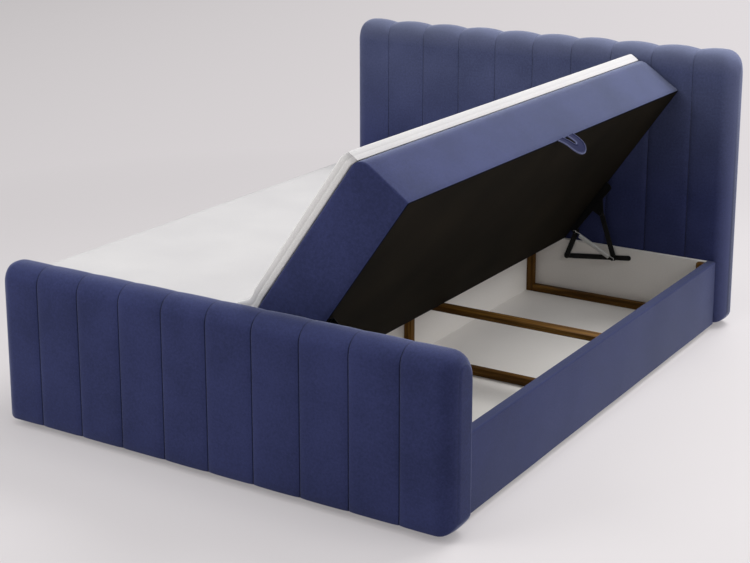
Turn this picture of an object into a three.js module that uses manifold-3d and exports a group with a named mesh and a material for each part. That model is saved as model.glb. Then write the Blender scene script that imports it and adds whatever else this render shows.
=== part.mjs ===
// Storage box spring bed: a channelled headboard and footboard, two storage boxes side by side,
// a hinged mattress box over each of them, and one topper across both.
// Millimetres. X runs across the bed, Y from the foot to the head, Z up. The origin is on the floor
// under the middle of the bed. The right lid stands open, the left lid is closed.

import * as THREE from 'three';
import { mergeVertices } from 'three/addons/utils/BufferGeometryUtils.js';
import Module from 'manifold-3d';

const wasm = await Module();
wasm.setup();

// The boxes
const boxLength = 2000;
const boxWidth = 800;
const boxHeight = 251;
const groundGap = 18;
const fitGap = 0.3;
const weldDistance = 1e-4;
const wallThickness = 18;
const dividerThickness = 20;
const coverThickness = 10;
const coverLip = 6;
const coverHem = 34;
const wallTopDrop = 1;
const floorThickness = 10;
const floorTopAboveEdge = 18;
const footRadius = 26;
const footInset = 120;

// The pine frames inside the boxes
const postSide = 28;
const postTopDrop = 3;
const railHeight = 28;
const topBoardDepth = 50;
const topBoardThickness = 18;
const topBoardDrop = 2;

// The end boards
const endBoardOverhang = 40;
const endBoardWidth = 2 * (boxWidth + endBoardOverhang);
const endBoardDepth = 125;
const headboardTop = 1080;
const footboardTop = 547;
const boardCoreThickness = 15;
const coreInset = 3;
const headboardCorner = 70;
const footboardCorner = 50;
const boardBottomCorner = 45;
const boardEdgeRound = 55;
const boardLowerRound = 8;
const footboardInnerRound = 18;
const channelCount = 10;
const channelSeamDepth = 5;
const headboardNotch = 10;
const footboardNotch = 1;
const legWidth = 60;
const legInset = 240;

// The lids
const lidThickness = 203;
const lidInnerX = 8;
const lidEndGap = 5;
const lidSeatGap = 1;
const lidTopRound = 45;
const lidEndRound = 12;
const lidSkin = 6;
const lidFrameThickness = 25;
const lidFrameBorder = 45;
const lidSlatWidth = 60;
const lidSlatCount = 7;
const dustCoverThickness = 1.5;
const lidOpenAngle = THREE.MathUtils.degToRad(55);
const lidSlide = 160;

// The hinges, on the end walls of the boxes
const plateThickness = 4;
const plateGap = 0.6;
const linkWidth = 21;
const barWidth = 20;
const barTail = 59;
const pinRadius = 4;
const pinClearance = 0.6;
const pinOverhang = 3;
const railLug = 11;
const railFlangeDepth = 12;
const railFlangeThickness = 3;
const railStart = 60;
const railEnd = 322;
const shortPinAlongLid = 69.6;
const shortPinBelowLid = 24.5;
const longPinAlongLid = 201.7;
const longPinBelowLid = 61.4;
const railTipAlongLid = 309;
const railTipBelowLid = 31.5;
const rivetRadius = 7;
const rivetHeight = 3;
const shortPivotBelowRim = 66;
const longPivotBelowRim = 43;

// The tension springs
const springWire = 3;
const springRadius = 7.5;
const springEyeGap = 0.6;
const springNeck = 10;
const springHook = 20;
const springCurls = 14;
const springGap = 0.6;

// The pull loops
const loopStrapWidth = 42;
const loopStrapThickness = 4;
const loopBaseSpread = 76;
const loopTipSpread = 62;
const loopLegLength = 33;
const loopRise = 12;
const loopBow = 7;

// The topper
const topperThickness = 40;
const topperEdgeInset = 12;
const topperSplit = 50;

// Counts of straight steps on round stretches
const pinSegments = 12;
const arcSteps = 6;
const bendSteps = 8;
const footSegments = 16;
const curlSteps = 8;
const wireSides = 5;

// Places that follow from the sizes above
const rim = groundGap + boxHeight;
const endFace = boxLength / 2;
const wallFace = endFace - wallThickness;
const lidBottom = rim + lidSeatGap;
const lidTop = lidBottom + lidThickness;
const lidHalfLength = endFace - lidEndGap;
const floorTop = groundGap + floorTopAboveEdge;
const sideBoardOuterX = boxWidth - coverThickness;
const sideBoardInnerX = sideBoardOuterX - wallThickness;
const springEyeRadius = pinRadius + springEyeGap + springWire / 2;

// Finishes
const finish = (color, roughness, metalness = 0) =>
  new THREE.MeshStandardMaterial({ color, roughness, metalness });
const velvet = 0x2b3056;
const velvetPanel = 0x3a3f6b;
const lining = 0xb4b0ab;
const pine = 0x8a6437;
const plywood = 0x9c7a4c;
const dustBlack = 0x1d1b19;
const hingeBlack = 0x111112;
const springSteel = 0xb5b5b2;
const topperKnit = 0xdedcdc;

const bed = new THREE.Group();

// One named mesh, added to a group or to the bed itself
function add(name, geometry, material, parent = bed) {
  const mesh = new THREE.Mesh(geometry, material);
  mesh.name = name;
  parent.add(mesh);
  return mesh;
}

// A geometry with one set of shared vertices, kept for position alone
function shared(geometry) {
  const bare = geometry.clone();
  for (const key of Object.keys(bare.attributes)) {
    if (key !== 'position') bare.deleteAttribute(key);
  }
  return mergeVertices(bare, weldDistance);
}

// Six times the enclosed volume, below zero where the faces point in
function signedVolume(geometry) {
  const position = geometry.attributes.position;
  const index = geometry.index.array;
  const [a, b, c] = [new THREE.Vector3(), new THREE.Vector3(), new THREE.Vector3()];
  let sum = 0;
  for (let i = 0; i < index.length; i += 3) {
    a.fromBufferAttribute(position, index[i]);
    b.fromBufferAttribute(position, index[i + 1]);
    c.fromBufferAttribute(position, index[i + 2]);
    sum += a.dot(b.cross(c));
  }
  return sum;
}

function turnFacesOut(geometry) {
  if (signedVolume(geometry) >= 0) return geometry;
  const index = geometry.index.array;
  for (let i = 0; i < index.length; i += 3) {
    [index[i + 1], index[i + 2]] = [index[i + 2], index[i + 1]];
  }
  return geometry;
}

// The same piece on the other side of the bed, or at its other end
function mirrored(geometry, acrossX, acrossY = false) {
  const copy = shared(geometry);
  copy.scale(acrossX ? -1 : 1, acrossY ? -1 : 1, 1);
  return turnFacesOut(copy);
}

function toSolid(geometry) {
  const bare = turnFacesOut(shared(geometry));
  return new wasm.Manifold(new wasm.Mesh({
    numProp: 3,
    vertProperties: new Float32Array(bare.attributes.position.array),
    triVerts: new Uint32Array(bare.index.array),
  }));
}

function toGeometry(solid) {
  const mesh = solid.getMesh();
  const geometry = new THREE.BufferGeometry();
  geometry.setAttribute('position', new THREE.BufferAttribute(mesh.vertProperties, 3));
  geometry.setIndex(new THREE.BufferAttribute(mesh.triVerts, 1));
  return geometry;
}

const joined = (...geometries) =>
  toGeometry(geometries.map(toSolid).reduce((whole, next) => whole.add(next)));

const cut = (geometry, ...tools) =>
  toGeometry(tools.map(toSolid).reduce((whole, next) => whole.subtract(next), toSolid(geometry)));

function block(x0, x1, y0, y1, z0, z1) {
  const geometry = new THREE.BoxGeometry(x1 - x0, y1 - y0, z1 - z0);
  return geometry.translate((x0 + x1) / 2, (y0 + y1) / 2, (z0 + z1) / 2);
}

// A plate whose outline is drawn in X and Z, between two places along Y
function platePiece(shape, y0, y1) {
  const geometry = new THREE.ExtrudeGeometry(shape, {
    depth: y1 - y0, bevelEnabled: false, curveSegments: arcSteps,
  });
  return geometry.rotateX(Math.PI / 2).translate(0, y1, 0);
}

// A round pin along Y
function pinPiece(centre, radius, y0, y1) {
  const geometry = new THREE.CylinderGeometry(radius, radius, y1 - y0, pinSegments);
  return geometry.translate(centre.x, (y0 + y1) / 2, centre.y);
}

// A closed body through rings that all have the same number of points
function lofted(rings) {
  const count = rings[0].length;
  const positions = rings.flat().flatMap((point) => point.toArray());
  const index = [];
  for (let r = 0; r + 1 < rings.length; r += 1) {
    for (let i = 0; i < count; i += 1) {
      const next = (i + 1) % count;
      const [a, b] = [r * count + i, r * count + next];
      const [c, d] = [a + count, b + count];
      index.push(a, b, d, a, d, c);
    }
  }
  const last = (rings.length - 1) * count;
  for (let i = 1; i + 1 < count; i += 1) {
    index.push(0, i + 1, i);
    index.push(last, last + i, last + i + 1);
  }
  const geometry = new THREE.BufferGeometry();
  geometry.setAttribute('position', new THREE.Float32BufferAttribute(positions, 3));
  geometry.setIndex(index);
  return turnFacesOut(geometry);
}

// The wrapped pads of an end board. A column stands at each place across the board, and is bent
// back round the lower and the upper edge. At a seam the column is thinner and lower.
const seamShares = [0, 0.12, 0.5, 0.88];
const seamDepthShares = [1, 0.25, 0, 0.25];
const endTurnShares = [0.4, 0.72, 0.96];
const lowerEdgeAngles = [0, 0.25, 0.5].map((share) => share * Math.PI);
const upperEdgeAngles = [0.5, 0.34, 0.17, 0].map((share) => share * Math.PI);

function columnPlaces(corner) {
  const pitch = endBoardWidth / channelCount;
  const places = [];
  for (let seam = 1; seam < channelCount; seam += 1) {
    seamShares.forEach((share, i) => {
      if (seam === channelCount - 1 && i === seamShares.length - 1) return;
      places.push({ x: -endBoardWidth / 2 + (seam + share) * pitch, seam: seamDepthShares[i] });
    });
  }
  const first = -endBoardWidth / 2 + (1 - seamShares[1]) * pitch;
  places.unshift({ x: first, seam: seamDepthShares[1] });
  places.unshift({ x: -endBoardWidth / 2 + seamShares[2] * pitch, seam: 0 });
  const flatEnd = endBoardWidth / 2 - boardEdgeRound;
  for (const side of [-1, 1]) {
    places.push({ x: side * (endBoardWidth / 2 - corner), seam: 0 });
    for (const share of [0, ...endTurnShares]) {
      places.push({ x: side * (flatEnd + share * boardEdgeRound), seam: 0 });
    }
  }
  return places.sort((a, b) => a.x - b.x);
}

// How far a round corner draws an edge in at a place past the corner's start
function cornerDrop(radius, past) {
  return past <= 0 ? 0 : radius - Math.sqrt(radius ** 2 - past ** 2);
}

function padHalf(middleY, facing, { top, notch, corner }, endRound) {
  const half = endBoardWidth / 2;
  const backY = boardCoreThickness / 2 + fitGap;
  const rings = columnPlaces(corner).map(({ x, seam }) => {
    const reach = Math.abs(x);
    const depth = endBoardDepth / 2 - seam * channelSeamDepth
      - cornerDrop(endRound, reach - (half - endRound));
    const upper = top - seam * notch - cornerDrop(corner, reach - (half - corner));
    const lower = groundGap + cornerDrop(boardBottomCorner, reach - (half - boardBottomCorner));
    const swell = depth - backY;
    const ring = [];
    for (const angle of lowerEdgeAngles) {
      const y = backY + swell * Math.sin(angle);
      const rise = boardLowerRound * (1 - Math.cos(angle));
      ring.push(new THREE.Vector3(x, middleY + facing * y, lower + rise));
    }
    for (const angle of upperEdgeAngles) {
      const y = backY + swell * Math.sin(angle);
      const drop = boardEdgeRound * (1 - Math.cos(angle));
      ring.push(new THREE.Vector3(x, middleY + facing * y, upper - drop));
    }
    return ring;
  });
  return lofted(rings);
}

// The board inside the pads, on two feet
function boardCore(middleY, { top, notch, corner }) {
  const half = endBoardWidth / 2 - coreInset;
  const low = groundGap + coreInset;
  const high = top - notch - coreInset;
  const shape = new THREE.Shape();
  shape.moveTo(-half + boardBottomCorner, low);
  for (const side of [-1, 1]) {
    const middle = side * (half - legInset);
    shape.lineTo(middle - legWidth / 2, low);
    shape.lineTo(middle - legWidth / 2, 0);
    shape.lineTo(middle + legWidth / 2, 0);
    shape.lineTo(middle + legWidth / 2, low);
  }
  shape.lineTo(half - boardBottomCorner, low);
  shape.absarc(half - boardBottomCorner, low + boardBottomCorner, boardBottomCorner, -Math.PI / 2, 0);
  shape.absarc(half - corner, high - corner, corner, 0, Math.PI / 2);
  shape.absarc(-half + corner, high - corner, corner, Math.PI / 2, Math.PI);
  shape.absarc(-half + boardBottomCorner, low + boardBottomCorner, boardBottomCorner,
    Math.PI, 1.5 * Math.PI);
  const depth = boardCoreThickness / 2;
  return platePiece(shape, middleY - depth, middleY + depth);
}

function endBoard(name, side, board, innerRound) {
  const middleY = side * (endFace + endBoardDepth / 2);
  add(`${name}_inner_pad`, padHalf(middleY, -side, board, innerRound), finish(velvet, 0.9));
  add(`${name}_core`, boardCore(middleY, board), finish(plywood, 0.8));
  add(`${name}_outer_pad`, padHalf(middleY, side, board, boardEdgeRound), finish(velvet, 0.9));
}

// The upholstered side: a lined board, and its cover, which laps over the upper edge
function sideCoverShape() {
  const shape = new THREE.Shape();
  const hemX = sideBoardInnerX - coverLip;
  shape.moveTo(sideBoardOuterX + fitGap, groundGap);
  shape.lineTo(boxWidth, groundGap);
  shape.lineTo(boxWidth, rim);
  shape.lineTo(hemX, rim);
  shape.lineTo(hemX, rim - coverHem);
  shape.lineTo(sideBoardInnerX - fitGap, rim - coverHem);
  shape.lineTo(sideBoardInnerX - fitGap, rim - coverLip);
  shape.lineTo(sideBoardOuterX + fitGap, rim - coverLip);
  return shape;
}

function floorPiece() {
  const x0 = dividerThickness + fitGap;
  const x1 = sideBoardInnerX - fitGap;
  const y1 = wallFace - fitGap;
  const under = floorTop - floorThickness;
  const footHeight = floorTop - floorThickness / 2;
  const board = block(x0, x1, -y1, y1, under, floorTop);
  const feet = [];
  for (const x of [x0 + footInset, x1 - footInset]) {
    for (const y of [-y1 + footInset, 0, y1 - footInset]) {
      const foot = new THREE.CylinderGeometry(footRadius, footRadius, footHeight, footSegments);
      feet.push(foot.rotateX(Math.PI / 2).translate(x, y, footHeight / 2));
    }
  }
  return joined(board, ...feet);
}

// A frame of two posts and the rail between them, along an end wall
function endFrame() {
  const x0 = dividerThickness + fitGap;
  const x1 = sideBoardInnerX - coverLip - fitGap;
  const y1 = wallFace - fitGap;
  const y0 = y1 - postSide;
  const base = floorTop + fitGap;
  const postTop = rim - postTopDrop;
  return joined(
    block(x0, x0 + postSide, y0, y1, base, postTop),
    block(x1 - postSide, x1, y0, y1, base, postTop),
    block(x0, x1, y0, y1, base, base + railHeight),
  );
}

// The frame at half length: a post at the divider, a rail on the floor and a board under the lid
function midFrame() {
  const x0 = dividerThickness + fitGap;
  const x1 = sideBoardInnerX - coverLip - fitGap;
  const base = floorTop + fitGap;
  const boardTop = rim - topBoardDrop;
  return joined(
    block(x0, x0 + postSide, -postSide / 2, postSide / 2, base, boardTop),
    block(x0, x1, -postSide / 2, postSide / 2, base, base + railHeight),
    block(x0, x1, -topBoardDepth / 2, topBoardDepth / 2, boardTop - topBoardThickness, boardTop),
  );
}

function storageBox(name, left) {
  const side = (geometry) => mirrored(geometry, left);
  const end = (geometry, foot) => mirrored(geometry, left, foot);
  const wallTop = rim - wallTopDrop;
  const inner = dividerThickness + fitGap;
  const outer = sideBoardInnerX - coverLip - fitGap;
  const wall = block(inner, outer, wallFace, endFace - fitGap, groundGap, wallTop);
  const sideBoard = block(sideBoardInnerX, sideBoardOuterX, -endFace + fitGap, endFace - fitGap,
    groundGap, rim - coverLip - fitGap);
  add(`${name}_side_board`, side(sideBoard), finish(lining, 0.85));
  add(`${name}_side_cover`, side(platePiece(sideCoverShape(), -endFace + fitGap, endFace - fitGap)),
    finish(velvetPanel, 0.9));
  add(`${name}_head_wall`, end(wall, false), finish(lining, 0.85));
  add(`${name}_foot_wall`, end(wall, true), finish(lining, 0.85));
  add(`${name}_divider`, side(block(fitGap / 2, dividerThickness, -endFace + fitGap, endFace - fitGap,
    groundGap, wallTop)), finish(lining, 0.85));
  add(`${name}_floor`, side(floorPiece()), finish(lining, 0.85));
  add(`${name}_head_frame`, end(endFrame(), false), finish(pine, 0.7));
  add(`${name}_foot_frame`, end(endFrame(), true), finish(pine, 0.7));
  add(`${name}_mid_frame`, side(midFrame()), finish(pine, 0.7));
}

// The lid's motion, seen from the foot, in X and Z. Closed, its inner lower edge is just above the
// rim beside the divider. Open, the same edge has moved out along the rim.
const closedEdge = new THREE.Vector2(lidInnerX, lidBottom);
const openEdge = new THREE.Vector2(lidInnerX + lidSlide, lidBottom);
const turned = (vector, angle) => vector.clone().rotateAround(new THREE.Vector2(), angle);

// The one point that a turn by this angle from one place to the other leaves where it is
function poleOf(from, to, angle) {
  const middle = from.clone().add(to).multiplyScalar(0.5);
  const half = to.clone().sub(from).multiplyScalar(0.5);
  return middle.add(new THREE.Vector2(-half.y, half.x).multiplyScalar(1 / Math.tan(angle / 2)));
}

const lidPole = poleOf(closedEdge, openEdge, lidOpenAngle);
const onClosedLid = (along, below) => new THREE.Vector2(lidInnerX + along, lidBottom - below);
const opened = (point) => point.clone().rotateAround(lidPole, lidOpenAngle);

// A base pivot at this height, as far from the closed place of a lid pin as from its open place
function basePivot(closedPin, openPin, height) {
  const middle = closedPin.clone().add(openPin).multiplyScalar(0.5);
  const run = openPin.clone().sub(closedPin);
  return new THREE.Vector2(middle.x - (height - middle.y) * run.y / run.x, height);
}

const closedPins = {
  short: onClosedLid(shortPinAlongLid, shortPinBelowLid),
  long: onClosedLid(longPinAlongLid, longPinBelowLid),
};
const openPins = { short: opened(closedPins.short), long: opened(closedPins.long) };
const shortPivot = basePivot(closedPins.short, openPins.short, rim - shortPivotBelowRim);
const longPivot = basePivot(closedPins.long, openPins.long, rim - longPivotBelowRim);

// The hinge's plates lie side by side, from the wall inwards
const plateY = (layer) => {
  const far = wallFace - fitGap - layer * (plateThickness + plateGap);
  return [far - plateThickness, far];
};
const barY = plateY(0);
const shortLinkY = plateY(1);
const longLinkY = plateY(2);
const railY = plateY(3);
const springY = railY[0] - springGap - springRadius - springWire / 2;
const pinEndY = springY - springWire / 2 - pinOverhang;

// A plate with round ends from one point to another
function barShape(from, to, width, holes) {
  const run = to.clone().sub(from);
  const angle = Math.atan2(run.y, run.x);
  const shape = new THREE.Shape();
  shape.absarc(from.x, from.y, width / 2, angle + Math.PI / 2, angle + 1.5 * Math.PI);
  shape.absarc(to.x, to.y, width / 2, angle - Math.PI / 2, angle + Math.PI / 2);
  for (const centre of holes) {
    const hole = new THREE.Path();
    hole.absarc(centre.x, centre.y, pinRadius + pinClearance, 0, 2 * Math.PI, true);
    shape.holes.push(hole);
  }
  return shape;
}

function baseBar() {
  const run = longPivot.clone().sub(shortPivot).normalize();
  const tail = longPivot.clone().addScaledVector(run, barTail);
  return joined(
    platePiece(barShape(shortPivot, tail, barWidth, []), ...barY),
    pinPiece(shortPivot, pinRadius, shortLinkY[0], barY[1]),
    pinPiece(longPivot, pinRadius, pinEndY, barY[1]),
  );
}

// The outer outline of a set of points, anticlockwise
function hullOf(points) {
  const sorted = [...points].sort((a, b) => a.x - b.x || a.y - b.y);
  const turn = (a, b, c) => (b.x - a.x) * (c.y - a.y) - (b.y - a.y) * (c.x - a.x);
  const chain = (list) => {
    const kept = [];
    for (const point of list) {
      while (kept.length > 1 && turn(kept.at(-2), kept.at(-1), point) <= 0) kept.pop();
      kept.push(point);
    }
    return kept.slice(0, -1);
  };
  return [...chain(sorted), ...chain(sorted.reverse())];
}

// The plate under the lid, in the closed lid's place, with its flange and the short link's pin
function lidRail() {
  const lugs = [closedPins.short, closedPins.long, onClosedLid(railTipAlongLid, railTipBelowLid)];
  const points = [onClosedLid(railStart, fitGap), onClosedLid(railEnd, fitGap)];
  for (const lug of lugs) {
    for (let i = 0; i < pinSegments; i += 1) {
      points.push(lug.clone().add(turned(new THREE.Vector2(railLug, 0), i * 2 * Math.PI / pinSegments)));
    }
  }
  const outline = new THREE.Shape(hullOf(points));
  const top = lidBottom - fitGap;
  const flange = block(lidInnerX + railStart, lidInnerX + railEnd, railY[0], railY[1] + railFlangeDepth,
    top - railFlangeThickness, top);
  return joined(
    platePiece(outline, ...railY),
    flange,
    pinPiece(closedPins.short, pinRadius, pinEndY, shortLinkY[1]),
    pinPiece(closedPins.long, rivetRadius, railY[0] - rivetHeight, railY[1]),
  );
}

// A round wire along a run of points
function wirePiece(points) {
  const rings = [];
  let across = new THREE.Vector3(0, 1, 0);
  points.forEach((point, i) => {
    const before = points[Math.max(i - 1, 0)];
    const after = points[Math.min(i + 1, points.length - 1)];
    const along = after.clone().sub(before).normalize();
    across = across.clone().addScaledVector(along, -across.dot(along)).normalize();
    const other = along.clone().cross(across);
    const ring = [];
    for (let k = 0; k < wireSides; k += 1) {
      const angle = k * 2 * Math.PI / wireSides;
      ring.push(point.clone()
        .addScaledVector(across, springWire / 2 * Math.cos(angle))
        .addScaledVector(other, springWire / 2 * Math.sin(angle)));
    }
    rings.push(ring);
  });
  return lofted(rings);
}

// A point of the spring: along its line from the base pivot, above that line, and along Y
function springPoint(from, to, along, above, aside) {
  const run = to.clone().sub(from).normalize();
  return new THREE.Vector3(
    from.x + run.x * along - run.y * above,
    springY + aside,
    from.y + run.y * along + run.x * above,
  );
}

// The eye round a pivot pin, open towards the coil
const eyeSteps = 8;
const eyeStart = THREE.MathUtils.degToRad(50);
const eyeTurn = THREE.MathUtils.degToRad(275);
function eyePlaces() {
  const places = [];
  for (let i = 0; i <= eyeSteps; i += 1) {
    const angle = eyeStart + eyeTurn * i / eyeSteps;
    places.push([springEyeRadius * Math.cos(angle), springEyeRadius * Math.sin(angle)]);
  }
  return places;
}

function springCoil(from, to) {
  const start = springEyeRadius + springNeck;
  const end = to.distanceTo(from) - springEyeRadius - springHook;
  const points = eyePlaces().map(([along, above]) => springPoint(from, to, along, above, 0));
  const steps = springCurls * curlSteps;
  for (let i = 0; i <= steps; i += 1) {
    const angle = 2 * Math.PI * i / curlSteps;
    points.push(springPoint(from, to, start + (end - start) * i / steps,
      -springRadius * Math.cos(angle), springRadius * Math.sin(angle)));
  }
  points.push(springPoint(from, to, end + springWire, -springRadius, 0));
  return points;
}

function springTopHook(from, to) {
  const length = to.distanceTo(from);
  const end = length - springEyeRadius - springHook + springWire + fitGap;
  const points = [
    springPoint(from, to, end, -springRadius, 0),
    springPoint(from, to, end + springWire, -springRadius, 0),
  ];
  for (const [along, above] of eyePlaces().reverse()) {
    points.push(springPoint(from, to, length - along, above, 0));
  }
  return points;
}

// The least gap between two stretches of a wire that aren't neighbours along it
function leastSelfGap(points) {
  let least = Infinity;
  for (let i = 0; i < points.length; i += 1) {
    for (let j = i + curlSteps - 2; j < points.length; j += 1) {
      least = Math.min(least, points[i].distanceTo(points[j]));
    }
  }
  return least - springWire;
}

// The pull loop, with the lid closed: a flat strap bent to a U. Its ends are sewn on the free side
// of the lid, and the loop hangs past the lid's lower edge, bowed a little away from the box.
function pullLoop() {
  const side = loopTipSpread / 2;
  const path = [];
  for (let i = 0; i < arcSteps; i += 1) {
    const share = i / arcSteps;
    path.push([THREE.MathUtils.lerp(loopBaseSpread / 2, side, share), loopLegLength * share]);
  }
  for (let i = 0; i <= 2 * arcSteps; i += 1) {
    const angle = Math.PI * i / (2 * arcSteps);
    path.push([side * Math.cos(angle), loopLegLength + side * Math.sin(angle)]);
  }
  for (let i = arcSteps - 1; i >= 0; i -= 1) path.push([-path[i][0], path[i][1]]);
  const length = loopLegLength + side + loopStrapWidth / 2;
  const rings = path.map(([y, down], i) => {
    const before = path[Math.max(i - 1, 0)];
    const after = path[Math.min(i + 1, path.length - 1)];
    const run = new THREE.Vector2(after[0] - before[0], after[1] - before[1]).normalize();
    if (i === 0 || i === path.length - 1) run.set(0, Math.sign(run.y));
    const corner = (across, proud) => {
      const below = down + run.x * across;
      const bow = loopBow * Math.sin(Math.PI * THREE.MathUtils.clamp(below / length, 0, 1));
      return new THREE.Vector3(boxWidth + fitGap + bow + proud, y - run.y * across,
        lidBottom + loopRise - below);
    };
    const half = loopStrapWidth / 2;
    return [
      corner(-half, 0), corner(half, 0),
      corner(half, loopStrapThickness), corner(-half, loopStrapThickness),
    ];
  });
  return lofted(rings);
}

// The mattress box of a lid, closed and on the right. Its long upper edges are well rounded, the
// edges round its two ends less so, and it has a pocket from below for the timber frame.
function mattressBox() {
  const x0 = lidInnerX;
  const x1 = boxWidth;
  const section = (inset, y) => {
    const ring = [new THREE.Vector3(x0 + inset, y, lidBottom), new THREE.Vector3(x1 - inset, y, lidBottom)];
    const radius = lidTopRound - inset;
    for (let i = 0; i <= 2 * arcSteps; i += 1) {
      const angle = i * Math.PI / 2 / arcSteps;
      const middle = i <= arcSteps ? x1 - lidTopRound : x0 + lidTopRound;
      ring.push(new THREE.Vector3(middle + radius * Math.cos(angle), y,
        lidTop - lidTopRound + radius * Math.sin(angle)));
      if (i === arcSteps) ring.push(new THREE.Vector3(x0 + lidTopRound, y, lidTop - inset));
    }
    return ring;
  };
  const rings = [];
  for (const side of [-1, 1]) {
    for (const turn of side < 0 ? [0, 1, 2, 3] : [3, 2, 1, 0]) {
      const angle = turn * Math.PI / 6;
      rings.push(section(lidEndRound * (1 - Math.sin(angle)),
        side * (lidHalfLength - lidEndRound * (1 - Math.cos(angle)))));
    }
  }
  const y1 = lidHalfLength - lidSkin;
  const pocketDepth = dustCoverThickness + lidFrameThickness + 3 * fitGap;
  const pocket = block(x0 + lidSkin, x1 - lidSkin, -y1, y1,
    lidBottom - pocketDepth, lidBottom + pocketDepth);
  return cut(lofted(rings), pocket);
}

// The timber ladder inside the lid
function lidFrame() {
  const x0 = lidInnerX + lidSkin + fitGap;
  const x1 = boxWidth - lidSkin - fitGap;
  const y1 = lidHalfLength - lidSkin - fitGap;
  const z0 = lidBottom + dustCoverThickness + 2 * fitGap;
  const shape = new THREE.Shape();
  shape.moveTo(x0, -y1);
  shape.lineTo(x1, -y1);
  shape.lineTo(x1, y1);
  shape.lineTo(x0, y1);
  const run = 2 * (y1 - lidFrameBorder);
  const gap = (run - lidSlatCount * lidSlatWidth) / (lidSlatCount + 1);
  for (let i = 0; i <= lidSlatCount; i += 1) {
    const low = -y1 + lidFrameBorder + i * (gap + lidSlatWidth);
    const hole = new THREE.Path();
    hole.moveTo(x0 + lidFrameBorder, low);
    hole.lineTo(x0 + lidFrameBorder, low + gap);
    hole.lineTo(x1 - lidFrameBorder, low + gap);
    hole.lineTo(x1 - lidFrameBorder, low);
    shape.holes.push(hole);
  }
  const geometry = new THREE.ExtrudeGeometry(shape, { depth: lidFrameThickness, bevelEnabled: false });
  return geometry.translate(0, 0, z0);
}

function dustCover() {
  const y1 = lidHalfLength - lidSkin - fitGap;
  return block(lidInnerX + lidSkin + fitGap, boxWidth - lidSkin - fitGap, -y1, y1,
    lidBottom + fitGap, lidBottom + fitGap + dustCoverThickness);
}

// Everything that one lid carries, with its hinges
function storageLid(name, left) {
  const body = new THREE.Group();
  const pins = left ? closedPins : openPins;
  if (!left) {
    body.position.set(lidPole.x, 0, lidPole.y);
    body.rotation.y = -lidOpenAngle;
  }
  bed.add(body);
  const carried = (piece, geometry, material, foot = false) => {
    const mesh = add(`${name}_${piece}`, mirrored(geometry, left, foot), material, body);
    if (!left) mesh.position.set(-lidPole.x, 0, -lidPole.y);
  };
  carried('mattress_box', mattressBox(), finish(velvet, 0.9));
  carried('lid_frame', lidFrame(), finish(pine, 0.75));
  carried('dust_cover', dustCover(), finish(dustBlack, 0.95));
  carried('pull_loop', pullLoop(), finish(velvetPanel, 0.9));
  for (const end of ['head', 'foot']) {
    const foot = end === 'foot';
    const fixed = (piece, geometry, material) =>
      add(`${name}_${end}_${piece}`, mirrored(geometry, left, foot), material);
    fixed('base_bar', baseBar(), finish(hingeBlack, 0.5, 0.6));
    fixed('short_link', platePiece(
      barShape(shortPivot, pins.short, linkWidth, [shortPivot, pins.short]), ...shortLinkY),
    finish(hingeBlack, 0.5, 0.6));
    fixed('long_link', platePiece(
      barShape(longPivot, pins.long, linkWidth, [longPivot]), ...longLinkY),
    finish(hingeBlack, 0.5, 0.6));
    carried(`${end}_lid_rail`, lidRail(), finish(hingeBlack, 0.5, 0.6), foot);
    const coil = springCoil(longPivot, pins.short);
    fixed('spring', wirePiece(coil), finish(springSteel, 0.35, 1));
    fixed('spring_top_hook', wirePiece(springTopHook(longPivot, pins.short)),
      finish(springSteel, 0.35, 1));
    if (!foot) console.log(`${name} spring: least gap to itself ${leastSelfGap(coil).toFixed(2)} mm`);
  }
}

// The topper lies flat on the left lid, and bends up in an arc on to the open right lid. Its two
// sides meet a little to the left of the middle, and each side is cut across the middle of its bend.
const topperBottom = lidTop + fitGap;
const upLid = turned(new THREE.Vector2(1, 0), lidOpenAngle);
const lidTopCorner = opened(new THREE.Vector2(lidInnerX, topperBottom));
const meeting = lidTopCorner.clone()
  .addScaledVector(upLid, (topperBottom - lidTopCorner.y) / upLid.y);
const bendRun = meeting.x + topperSplit;
const bendRadius = bendRun / Math.tan(lidOpenAngle / 2);
const lidFreeTop = opened(new THREE.Vector2(boxWidth - topperEdgeInset, topperBottom));
const straightRun = lidFreeTop.distanceTo(meeting) - bendRun;

// The topper's cross section at an angle round the bend, and at a distance past it
function topperRing(angle, past = 0) {
  const across = turned(new THREE.Vector2(0, -1), angle);
  const along = turned(new THREE.Vector2(1, 0), angle);
  const centre = new THREE.Vector2(-topperSplit, topperBottom + bendRadius);
  const low = centre.addScaledVector(across, bendRadius).addScaledVector(along, past);
  const high = low.clone().addScaledVector(across, -topperThickness);
  return [
    new THREE.Vector3(low.x, -lidHalfLength, low.y), new THREE.Vector3(low.x, lidHalfLength, low.y),
    new THREE.Vector3(high.x, lidHalfLength, high.y), new THREE.Vector3(high.x, -lidHalfLength, high.y),
  ];
}

function topper() {
  const knit = () => finish(topperKnit, 0.95);
  const slab = (x0, x1) =>
    block(x0, x1, -lidHalfLength, lidHalfLength, topperBottom, topperBottom + topperThickness);
  const bendMiddle = lidOpenAngle / 2;
  const seamAngle = fitGap / (2 * (bendRadius - topperThickness));
  const bend = (from, to) => Array.from({ length: bendSteps + 1 }, (_, i) =>
    topperRing(THREE.MathUtils.lerp(from, to, i / bendSteps)));
  add('left_topper', slab(topperEdgeInset - boxWidth, -lidPole.x - fitGap), knit());
  add('left_topper_fold', slab(-lidPole.x, -topperSplit - fitGap), knit());
  add('right_topper_fold', lofted(bend(0, bendMiddle - seamAngle)), knit());
  add('right_topper', lofted([
    ...bend(bendMiddle + seamAngle, lidOpenAngle), topperRing(lidOpenAngle, straightRun),
  ]), knit());
}

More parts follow.
